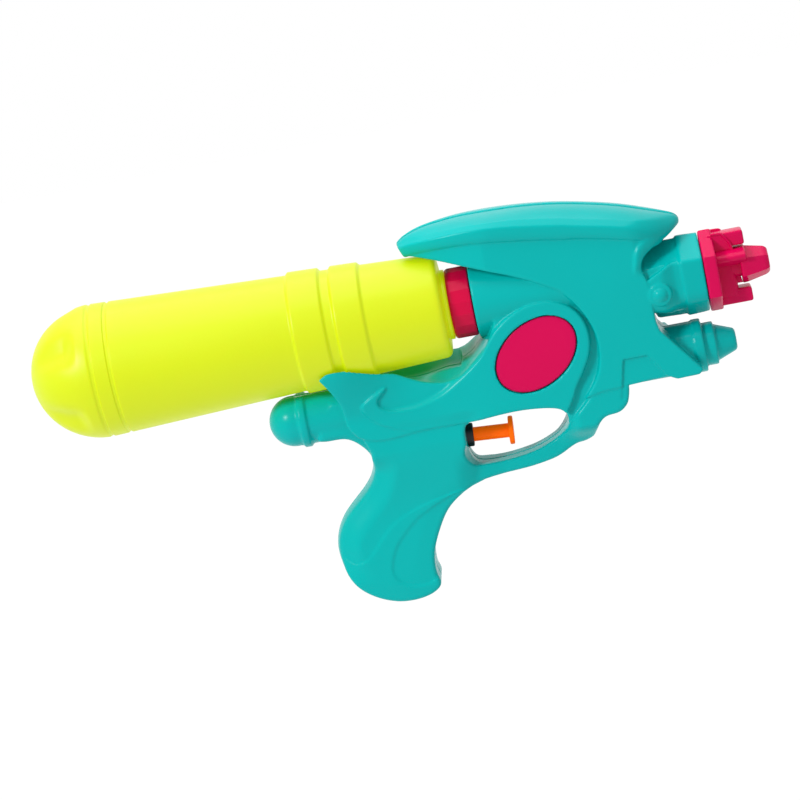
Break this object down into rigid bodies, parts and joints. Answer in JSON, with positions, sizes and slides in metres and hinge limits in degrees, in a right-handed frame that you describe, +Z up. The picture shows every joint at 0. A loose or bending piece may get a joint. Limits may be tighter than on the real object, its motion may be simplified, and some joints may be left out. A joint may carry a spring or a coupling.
{
  "type": "water squirter",
  "caption": "Hand-held toy water squirter: two-half moulded body, screw-on tank on top, pull trigger with a spring-return piston pump, ball valves and a pronged nozzle head.",
  "frame": {"origin": "in the middle of the grip, on the seam between the two body halves", "axes": "+X out of the nozzle, along the tank and the barrel; +Y to the far side of the picture; +Z up, from the grip to the tank"},
  "size_m": [0.3315, 0.06, 0.1672],
  "materials": {
    "teal_shell": "glossy moulded",
    "yellow_tank": "semi-matte blow-moulded",
    "pink_trim": "glossy moulded",
    "orange_trigger": "glossy moulded",
    "black_plastic": "satin",
    "black_rubber": "soft",
    "milky_plastic": "natural, unpainted",
    "clear_hose": "soft translucent",
    "screw_steel": "zinc plated",
    "spring_steel": "drawn wire",
    "ball_steel": "polished"
  },
  "bodies": {
    "body": {"left_shell": "teal_shell", "right_shell": "teal_shell", "screw_grip_low": "screw_steel", "screw_grip_high": "screw_steel", "screw_saddle": "screw_steel", "screw_front": "screw_steel", "screw_wing_rear": "screw_steel", "screw_wing_front": "screw_steel", "left_oval_cap": "pink_trim", "right_oval_cap": "pink_trim", "tank_collar": "pink_trim", "dip_tube": "clear_hose", "feed_hose": "clear_hose", "delivery_hose": "clear_hose", "pump_cylinder": "milky_plastic", "gland_ring": "black_plastic", "return_spring": "spring_steel", "inlet_valve_body": "milky_plastic", "inlet_valve_cap": "milky_plastic", "outlet_valve_body": "milky_plastic", "outlet_valve_cap": "milky_plastic", "nozzle_head": "pink_trim"},
    "plunger": {"trigger_plunger": "orange_trigger", "piston_cup": "black_rubber"},
    "washer": {"tank_gasket": "black_rubber"},
    "tank": {"tank": "yellow_tank"},
    "inlet_ball": {"inlet_valve_ball": "ball_steel"},
    "outlet_ball": {"outlet_valve_ball": "ball_steel"}
  },
  "joints": [
    {"name": "trigger_pull", "type": "slide", "parent": "body", "child": "plunger", "axis": [-0.9976, 0, 0.0698], "range_m": [0, 0.0105], "stiffness_N_per_m": 400, "springref_m": -0.005, "deforming": ["return_spring"]},
    {"name": "tank_pull", "type": "slide", "parent": "body", "child": "washer", "axis": [-1, 0, 0], "range_m": [0, 0.0061]},
    {"name": "tank_turn", "type": "hinge", "parent": "washer", "child": "tank", "pos_m": [0.04, 0, 0.0934], "axis": [-1, 0, 0], "range_deg": [0, 540]},
    {"name": "inlet_lift", "type": "slide", "parent": "body", "child": "inlet_ball", "axis": [-0.9976, 0, 0.0698], "range_m": [0, 0.001]},
    {"name": "outlet_lift", "type": "slide", "parent": "body", "child": "outlet_ball", "axis": [0.9976, 0, -0.0698], "range_m": [0, 0.001]}
  ],
  "couplings": [
    {"joint": "tank_pull", "follows": "tank_turn", "m_per_rad": 0.00063662}
  ]
}
